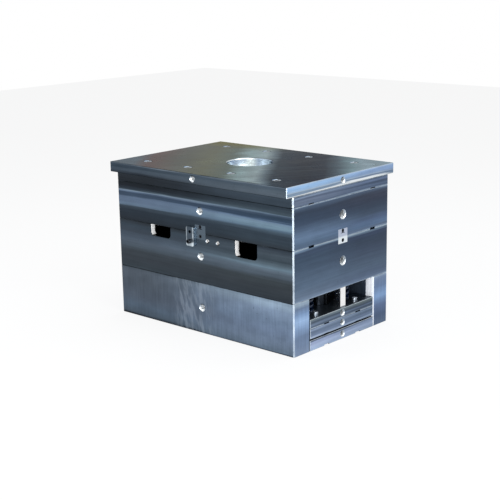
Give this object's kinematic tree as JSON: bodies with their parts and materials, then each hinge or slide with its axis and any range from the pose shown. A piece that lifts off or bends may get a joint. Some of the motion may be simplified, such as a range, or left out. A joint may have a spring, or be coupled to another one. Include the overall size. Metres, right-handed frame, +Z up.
{
  "type": "mould base",
  "caption": "Three-plate injection mould base: overhanging clamp plate, runner stripper plate, cavity and core plates, spacer legs and a sprung ejector set.",
  "frame": {"origin": "centre of the footprint, on the floor under the bottom plate", "axes": "+X along the length towards one end face, +Y across the width away from the strap face, +Z up, the opening direction"},
  "size_m": [0.8, 0.56, 0.55],
  "materials": {
    "ground_plate": "surface-ground carbon steel with fine grinding lines",
    "clamp_plate": "surface-ground carbon steel, dark oiled top face",
    "leg_steel": "ground spacer blocks with mottled oil film",
    "hardened_steel": "hardened and ground",
    "bush_bronze": "turned bronze",
    "screw_steel": "black oxide",
    "spring_paint": "painted flat-wire spring steel"
  },
  "bodies": {
    "moving_half": {"core_plate": "ground_plate", "guide_pins": "hardened_steel", "side_lock_tongues": "hardened_steel", "tongue_lock_screws": "screw_steel", "front_leg": "leg_steel", "rear_leg": "leg_steel", "leg_bolts": "screw_steel", "bottom_plate": "ground_plate", "support_pillars": "hardened_steel", "pillar_bolts": "screw_steel", "rest_buttons": "hardened_steel", "ejector_guide_pins": "hardened_steel", "strap_pivot_screw": "screw_steel"},
    "cavity_set": {"cavity_plate": "ground_plate", "cavity_support_bushes": "bush_bronze", "guide_bushes": "bush_bronze", "side_lock_sockets": "hardened_steel", "socket_lock_screws": "screw_steel"},
    "runner_set": {"runner_stripper_plate": "ground_plate", "runner_plate_bushes": "bush_bronze", "stop_bolts": "screw_steel", "puller_bolts": "screw_steel"},
    "clamp_set": {"top_clamp_plate": "clamp_plate", "support_pins": "hardened_steel"},
    "ejector_set": {"ejector_plate": "ground_plate", "ejector_retainer_plate": "ground_plate", "ejector_guide_bushes": "bush_bronze", "ejector_plate_screws": "screw_steel", "return_pins": "hardened_steel", "return_springs": "spring_paint", "guide_posts": "hardened_steel", "guide_post_screws": "screw_steel"},
    "strap": {"safety_strap": "hardened_steel"}
  },
  "joints": [
    {"name": "mould_opening", "type": "slide", "parent": "moving_half", "child": "cavity_set", "axis": [0, 0, 1], "range_m": [0, 0.25]},
    {"name": "runner_opening", "type": "slide", "parent": "cavity_set", "child": "runner_set", "axis": [0, 0, 1], "range_m": [0, 0.105]},
    {"name": "stripper_gap", "type": "slide", "parent": "runner_set", "child": "clamp_set", "axis": [0, 0, 1], "range_m": [0, 0.008]},
    {"name": "ejector_stroke", "type": "slide", "parent": "moving_half", "child": "ejector_set", "axis": [0, 0, 1], "range_m": [0, 0.06], "deforming": ["return_springs"]},
    {"name": "strap_swing", "type": "hinge", "parent": "moving_half", "child": "strap", "pos_m": [-0.041, -0.2542, 0.315], "axis": [0, -1, 0], "range_deg": [0, 180]}
  ],
  "couplings": [
    {"joint": "ejector_stroke", "follows": "mould_opening", "ratio": 0.24}
  ]
}
